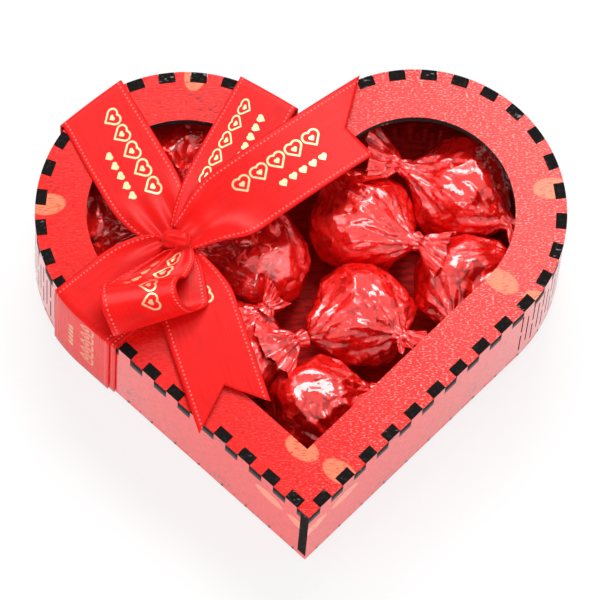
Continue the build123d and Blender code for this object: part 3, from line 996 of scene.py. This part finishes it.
candy_centres = {}
for candy in CANDY_ENDS:
    low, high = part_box(candy + "_chocolate")
    candy_centres[candy] = (low + high) / 2


def direction(azimuth, elevation):
    """Unit vector of an azimuth and an elevation in degrees."""
    turn, rise = math.radians(azimuth), math.radians(elevation)
    return Vector((math.cos(rise) * math.cos(turn), math.cos(rise) * math.sin(turn), math.sin(rise)))


def random_direction(rng):
    """Unit vector, even over the sphere."""
    z = rng.uniform(-1.0, 1.0)
    turn = rng.uniform(0.0, 2 * math.pi)
    flat = math.sqrt(1.0 - z * z)
    return (flat * math.cos(turn), flat * math.sin(turn), z)


def keep_inside(p, candy, drape=False):
    """Move a film's point off the walls, the floor, the lid and the other films, or drape it over those."""
    centre = candy_centres[candy]
    for other, place in candy_centres.items():
        if other == candy or (p - place).length > FILM_RADIUS:
            continue
        if drape:
            p = place + (p - place).normalized() * (FILM_RADIUS + 2 * FILM_CLEAR)
            continue
        normal = (place - centre).normalized()
        over = (p - centre).dot(normal) - (place - centre).length / 2 + FILM_CLEAR / 2
        if over > 0:
            p = p - normal * over
    border = WINDOW_INSET + WINDOW_CLEAR if candy == "candy_centre" else BOARD + FILM_CLEAR
    over = border - inset_left(-abs(p.x), p.y)
    if over > 0:
        side = -1.0 if p.x < 0 else 1.0
        normal = wall_normal_left(-abs(p.x), p.y)
        p = p - Vector((-side * normal.x, normal.y, 0.0)) * over
    p.z = min(max(p.z, FLOOR_Z + FILM_CLEAR), LID_Z - FILM_CLEAR)
    return p


# A film's ball: its mesh, its flat facets and its creases, in shares of the film's radius
BALL_SUBDIVISIONS = 6
BALL_FACETS = 44
FACET_SHARES = (0.92, 1.0)
FACET_LEAST_COSINE = 0.4
BALL_MOST_SHARE = 1.04
CRUMPLE_SHARE = 0.022
CRUMPLE_TOP = 1.6
CREASE_ANGLE = math.radians(50.0)
CREASE_SHARE = 0.11
FINE_CREASE_SHARE = 0.035


def facet_reach(directions, rng):
    """Distance to the nearest of a ball's random facets along each direction."""
    normals = np.array([random_direction(rng) for _ in range(BALL_FACETS)])
    heights = np.array([rng.uniform(*FACET_SHARES) for _ in range(BALL_FACETS)])
    facing = directions @ normals.T
    reach = heights / np.maximum(facing, FACET_LEAST_COSINE)
    reach = np.where(facing > FACET_LEAST_COSINE, reach, BALL_MOST_SHARE)
    return np.minimum(reach.min(axis=1), BALL_MOST_SHARE)


def draw_out(radius, p, end, tent, count, wobble, shift):
    """A film's radius in a direction, drawn out to a tent towards an end and creased round it."""
    angle = math.acos(min(max(p.dot(end), -1.0), 1.0))
    tent_angle = math.acos(1.0 / tent)
    if angle < tent_angle:
        radius = radius / math.cos(tent_angle - angle)
    side = end.orthogonal().normalized()
    turn = math.atan2(p.dot(end.cross(side)), p.dot(side))
    depth = math.exp(-((angle / CREASE_ANGLE) ** 2)) * smooth(0.0, 0.25, angle)
    crease = abs(math.sin(count * turn + 1.6 * wobble + shift.x))
    fine = abs(math.sin((2 * count + 1) * turn - 2.2 * wobble + shift.y))
    return radius * (1.0 - depth * (CREASE_SHARE * (1.0 - crease) + FINE_CREASE_SHARE * (1.0 - fine)))


def film_ball(candy, ends, rng):
    """Points and faces of a creased film round a chocolate, drawn out to a tent at each end."""
    mesh = bmesh.new()
    bmesh.ops.create_icosphere(mesh, subdivisions=BALL_SUBDIVISIONS, radius=1.0)
    directions = [v.co.normalized() for v in mesh.verts]
    faces = [[v.index for v in face.verts] for face in mesh.faces]
    mesh.free()
    reach = facet_reach(np.array(directions), rng)
    shift = Vector([rng.uniform(0.0, 50.0) for _ in range(3)])
    folds = [rng.randint(4, 6) for _ in ends]
    points = []
    for p, radius in zip(directions, reach):
        crumple = noise.ridged_multi_fractal(p * 2.0 + shift, 1.0, 2.2, 3, 1.0, 2.0)
        radius -= CRUMPLE_SHARE * (CRUMPLE_TOP - min(crumple, CRUMPLE_TOP))
        wobble = noise.noise(p * 1.8 + shift)
        for (end, tent, _), count in zip(ends, folds):
            radius = draw_out(radius, p, end, tent, count, wobble, shift)
        radius = max(radius, FILM_LEAST_RADIUS / FILM_RADIUS)
        points.append(keep_inside(candy_centres[candy] + p * (radius * FILM_RADIUS), candy))
    return points, faces


# A film's twisted end: its start inside the tent, its turn to a level way, its neck, and its fan's ripples
END_RINGS, END_AROUND = 24, 84
END_OVERLAP = 1.9 * MM
END_SLOPE = 0.10
END_TURN_SHARE = 0.75
FLAT_SHARE = 0.90
NECK_LENGTH_SHARE = 0.20
NECK_HALF = 1.6 * MM
TIE_HALF = 1.3 * MM
RIPPLE = 1.0 * MM
FINE_RIPPLE = 0.4 * MM
RAGGED = 1.3 * MM


def film_end(candy, out, tent, fan, rng, first):
    """Points and faces of one twisted end: a tight neck that opens into a flat ruffled fan."""
    side = out.cross(Vector((0.0, 0.0, 1.0))).normalized()
    level = Vector((out.x, out.y, END_SLOPE)).normalized()
    folds = rng.randint(5, 7)
    phase = rng.uniform(0.0, 6.0)
    reach, spread = fan
    place = candy_centres[candy] + out * (FILM_RADIUS * tent - END_OVERLAP)
    points = []
    for i in range(END_RINGS):
        s = i / (END_RINGS - 1)
        ahead = out.lerp(level, END_TURN_SHARE * s).normalized()
        if i:
            place = place + ahead * (reach / (END_RINGS - 1))
        up = side.cross(ahead)
        open_up = max(s - NECK_LENGTH_SHARE, 0.0) / (1.0 - NECK_LENGTH_SHARE)
        tie = 1.0 - min(s / NECK_LENGTH_SHARE, 1.0)
        width = NECK_HALF + TIE_HALF * tie + spread * open_up**0.85
        flat = 1.0 - FLAT_SHARE * smooth(0.0, 0.55, open_up)
        for k in range(END_AROUND):
            turn = 2 * math.pi * k / END_AROUND
            across = math.cos(turn)
            ruffle = 1.0 + 0.18 * (1.0 - tie) * (1.0 - open_up) * math.cos(9 * turn + 4.0 * s)
            ripple = RIPPLE * open_up * math.sin(folds * 2.2 * across + phase)
            ripple += FINE_RIPPLE * open_up * math.sin(folds * 5.1 * across - phase)
            ragged = RAGGED * open_up * (math.cos(2.6 * across + phase) - 0.5 * across * across)
            p = place + ahead * ragged + side * (across * width * ruffle)
            p = p + up * (math.sin(turn) * width * ruffle * flat + ripple)
            points.append(keep_inside(p, candy, drape=True))
    return points, tube_faces(END_RINGS, END_AROUND, first)


FIRST_SEED = 40
for number, (candy, angles) in enumerate(CANDY_ENDS.items()):
    rng = random.Random(FIRST_SEED + number)
    ends = [(direction(azimuth, elevation), tent, fan) for azimuth, elevation, tent, fan in angles]
    points, faces = film_ball(candy, ends, rng)
    for end in ends:
        more_points, more_faces = film_end(candy, *end, rng, len(points))
        points += more_points
        faces += more_faces
    body = "centre_candy" if candy == "candy_centre" else "box"
    add_mesh(candy + "_film", points, faces, film_red, body, candy + "_wrapper")
    wear(candy + "_chocolate", cocoa)


# Floor, light and camera
FLOOR_HALF = 6.0
FLOOR_BELOW = 0.2 * MM
FLOOR_MOTTLE = Spots(9.0)
FLOOR_GLOW = 0.80
WORLD_LIGHT, WORLD_SEEN = 0.34, 1.0
LIGHT_AIM = (0.0, 0.0, 0.03)
# Each light: its place, the point it is turned to, its width and height, and its power in watts
LIGHTS = {
    "back_soft": ((-0.08, 0.80, 0.62), LIGHT_AIM, (0.70, 0.50), 0.8),
    "back_core": ((-0.02, 0.62, 0.76), LIGHT_AIM, (0.46, 0.34), 6.5),
    "sheen_right": ((0.175, 0.30, 0.70), (0.08, 0.0, 0.03), (0.20, 0.24), 1.7),
    "fill_right": ((0.85, -0.25, 0.55), LIGHT_AIM, (0.50, 0.50), 1.4),
    "fill_left": ((-0.80, -0.35, 0.60), LIGHT_AIM, (0.50, 0.50), 1.2),
    "fill_front": ((-0.10, -1.00, 0.30), (0.0, 0.0, 0.02), (0.70, 0.35), 6.2),
}
# The camera as solved from the photo: its place, and its turns in degrees
CAMERA_PLACE = (-0.08176, -0.73565, 2.15763)
CAMERA_TURNS = (19.1263, -1.7140, -1.3545)
CAMERA_LENS = 480.0
CAMERA_SENSOR = 36.0
CAMERA_FAR = 50.0


def floor_paint(name):
    """White floor that keeps the shadow."""
    paint = new_paint(name)
    colour = paint.mix(paint.noise(paint.place(), FLOOR_MOTTLE), FLOOR_DIM, FLOOR_PALE)
    paint.set(Base_Color=colour, Roughness=0.8, Specular_IOR_Level=0.1)
    white = paint.node("ShaderNodeEmission", (WHITE, 1.0)).outputs[0]
    share = paint.times(paint.seen(), FLOOR_GLOW)
    blend = paint.node("ShaderNodeMixShader", (share, paint.shader.outputs[0], white))
    paint.put(paint.tree.nodes["Material Output"].inputs["Surface"], blend.outputs[0])
    return paint.block


corner_signs = ((-1, -1), (1, -1), (1, 1), (-1, 1))
floor_corners = [(x * FLOOR_HALF, y * FLOOR_HALF, -FLOOR_BELOW) for x, y in corner_signs]
floor_mesh = bpy.data.meshes.new("floor")
floor_mesh.from_pydata(floor_corners, [], [(0, 1, 2, 3)])
floor_mesh.materials.append(floor_paint("floor_white"))
floor = bpy.data.objects.new("floor", floor_mesh)
scene.collection.objects.link(floor)


def area_light(name, place, target, size, power):
    """A soft box that points at a target."""
    lamp = bpy.data.lights.new(name, "AREA")
    lamp.shape = "RECTANGLE"
    lamp.size, lamp.size_y = size
    lamp.energy = power
    lamp_object = bpy.data.objects.new(name, lamp)
    lamp_object.location = place
    lamp_object.rotation_euler = (Vector(target) - Vector(place)).to_track_quat("-Z", "Y").to_euler()
    scene.collection.objects.link(lamp_object)


for light, settings in LIGHTS.items():
    area_light(light, *settings)

world = bpy.data.worlds.new("studio")
scene.world = world
sky = Paint(world, "Background")
sky.set(Color=WHITE, Strength=sky.step(sky.seen(), 0.0, 1.0, WORLD_LIGHT, WORLD_SEEN))

camera_data = bpy.data.cameras.new("camera")
camera_data.lens = CAMERA_LENS
camera_data.sensor_width = CAMERA_SENSOR
camera_data.clip_end = CAMERA_FAR
camera = bpy.data.objects.new("camera", camera_data)
camera.location = CAMERA_PLACE
camera.rotation_euler = Euler([math.radians(turn) for turn in CAMERA_TURNS])
scene.collection.objects.link(camera)
scene.camera = camera
scene.view_settings.view_transform = "Standard"
